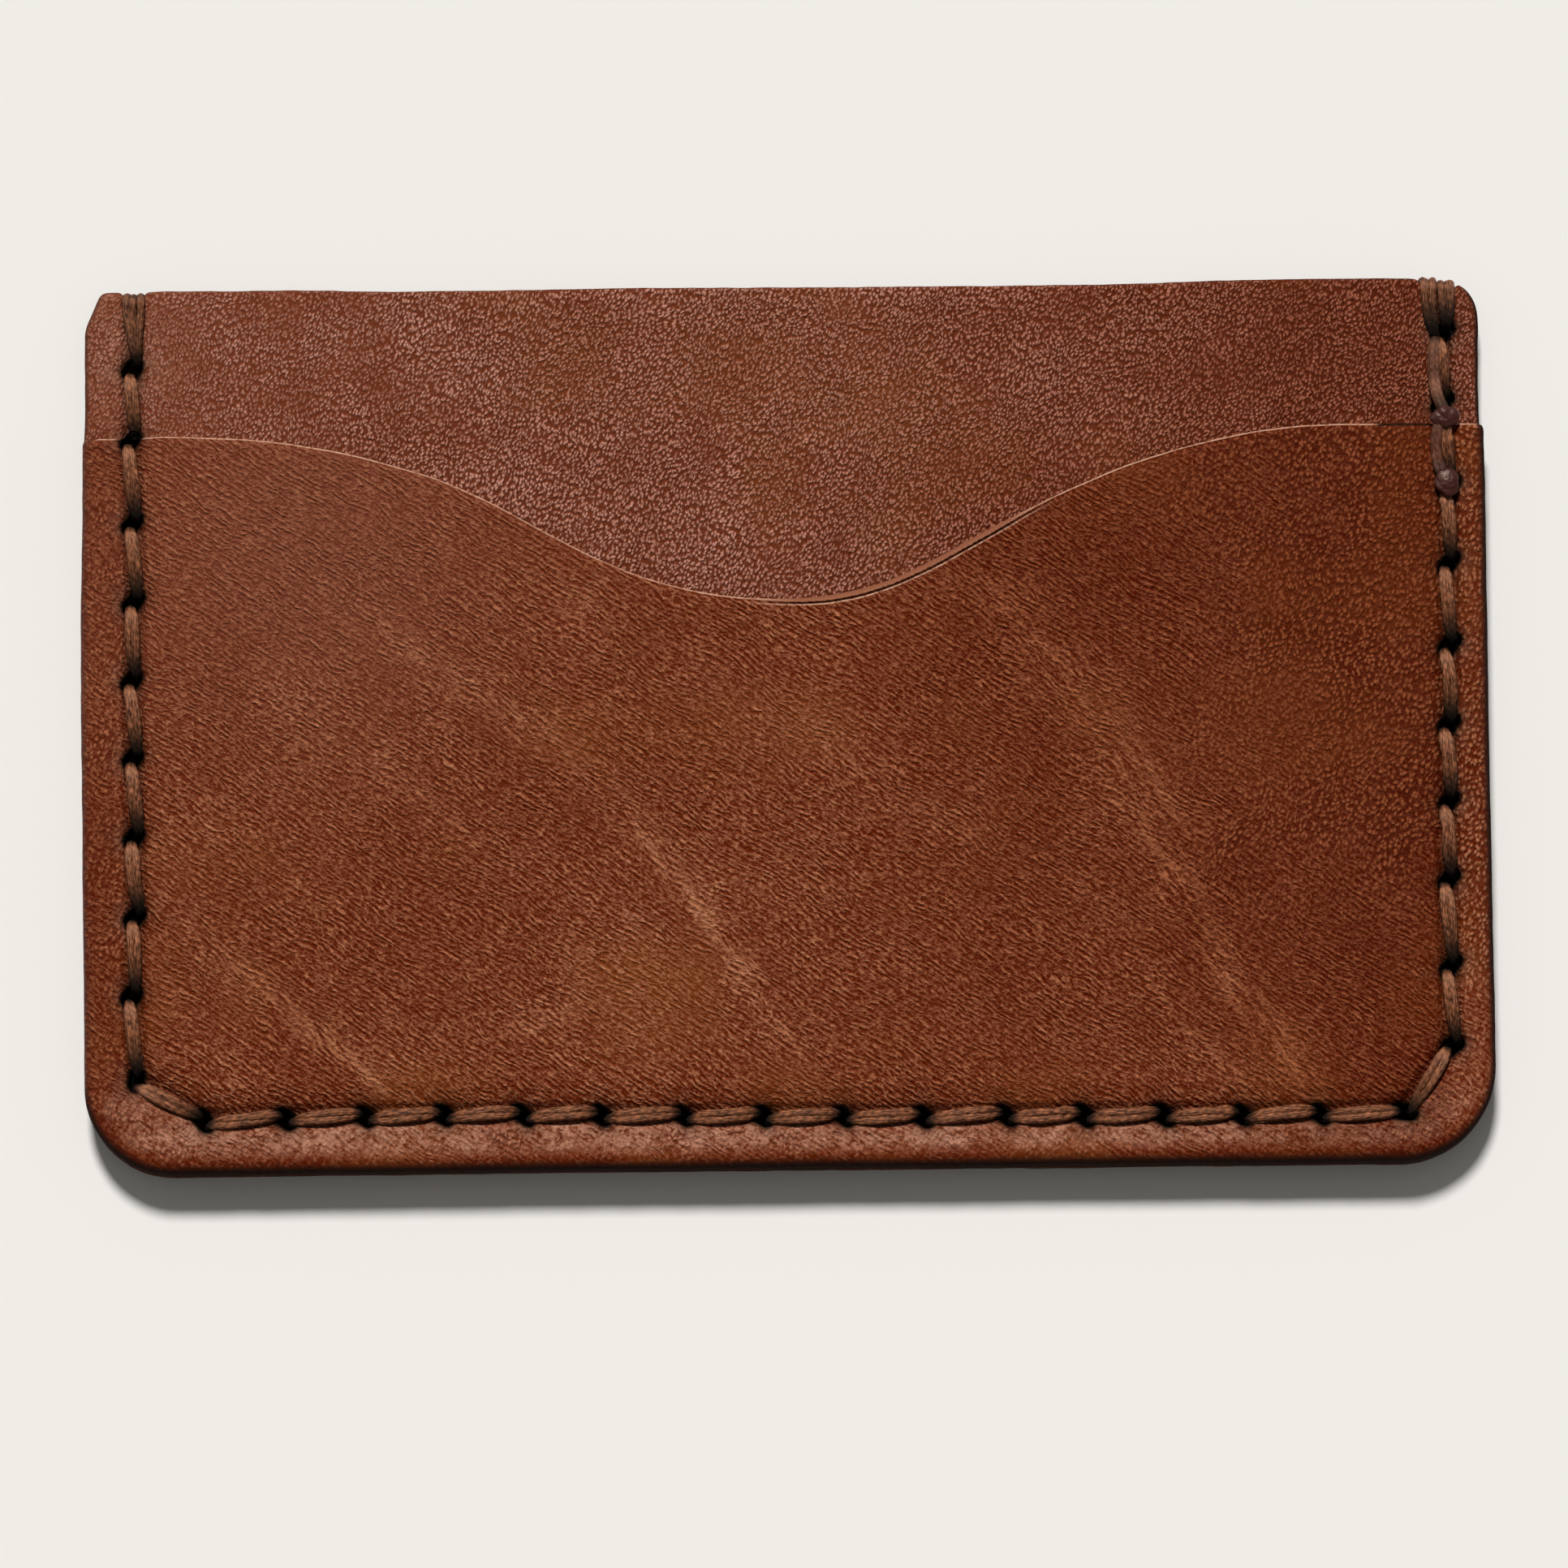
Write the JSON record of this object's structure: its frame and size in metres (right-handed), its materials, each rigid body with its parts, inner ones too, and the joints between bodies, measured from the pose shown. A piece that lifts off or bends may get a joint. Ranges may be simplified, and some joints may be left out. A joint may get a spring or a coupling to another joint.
{
  "type": "card holder",
  "caption": "Slim leather card holder: tall back and middle panels, a lower front pocket with a swooping mouth, saddle stitched on three sides.",
  "frame": {"origin": "centre of the footprint of the holder lying on its back, on the surface it rests on", "axes": "+X to the right along the long side, +Y towards the mouth where cards go in, +Z out of the front face"},
  "size_m": [0.1, 0.0634, 0.005],
  "materials": {
    "back_leather": "semi-matt chestnut pull-up leather, fine pebbled grain, dark burnished edges",
    "middle_leather": "semi-matt chestnut pull-up leather, fine pebbled grain with lighter tips, dark burnished edges",
    "pocket_leather": "semi-matt chestnut pull-up leather, fine slanting wrinkled grain, mottled, dark burnished edges, pale cut edge at the mouth",
    "waxed_thread": "dark brown braided waxed thread, satin",
    "melted_thread": "dark brown thread end melted to a glossy bead"
  },
  "bodies": {
    "root": {"back_panel": "back_leather", "middle_panel": "middle_leather", "front_pocket": "pocket_leather", "saddle_thread_needle_a": "waxed_thread", "saddle_thread_needle_b": "waxed_thread", "backstitch_tail_upper": "melted_thread", "backstitch_tail_lower": "melted_thread"}
  },
  "joints": []
}
